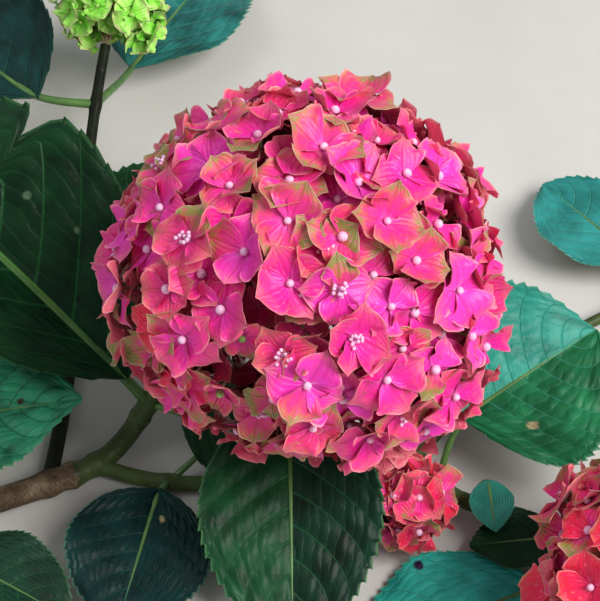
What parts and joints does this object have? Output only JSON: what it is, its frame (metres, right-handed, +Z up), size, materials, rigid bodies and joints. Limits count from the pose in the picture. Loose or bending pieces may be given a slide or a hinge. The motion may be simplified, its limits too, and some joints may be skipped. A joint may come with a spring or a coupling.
{
  "type": "hydrangea branch",
  "caption": "Cut flowering branch of a mophead hydrangea lying on a flat surface: woody cane, green shoots, toothed leaves, large pink flower head, smaller heads and a green young one.",
  "frame": {"origin": "on the floor, under the middle of the bounding box", "axes": "+X along the branch, from its cut end towards the far shoot; +Z up from the floor it lies on"},
  "size_m": [0.5366, 0.465, 0.207],
  "materials": {
    "bark": "matte",
    "green_stem": "satin",
    "leaf": "satin",
    "petals": "matte",
    "young_petals": "matte"
  },
  "bodies": {
    "root": {"cane_low": "bark", "cane_top": "bark", "main_low": "green_stem", "main_up": "green_stem", "young_shoot": "green_stem", "right_shoot": "green_stem", "second_shoot": "green_stem", "third_shoot": "green_stem", "far_shoot": "green_stem", "leaf_large": "leaf", "leaf_low_inner": "leaf", "leaf_front": "leaf", "leaf_back": "leaf", "leaf_low_left": "leaf", "leaf_low_back": "leaf", "leaf_left_tip": "leaf", "leaf_corner": "leaf", "leaf_upper_left": "leaf", "leaf_upper": "leaf", "leaf_middle": "leaf", "leaf_middle_left": "leaf", "leaf_right": "leaf", "leaf_small": "leaf", "leaf_low_right": "leaf", "leaf_low_dark": "leaf", "leaf_far": "leaf", "leaf_far_right": "leaf", "main_bloom": "petals", "second_bloom": "petals", "third_bloom": "petals", "young_bloom": "young_petals"}
  },
  "joints": []
}
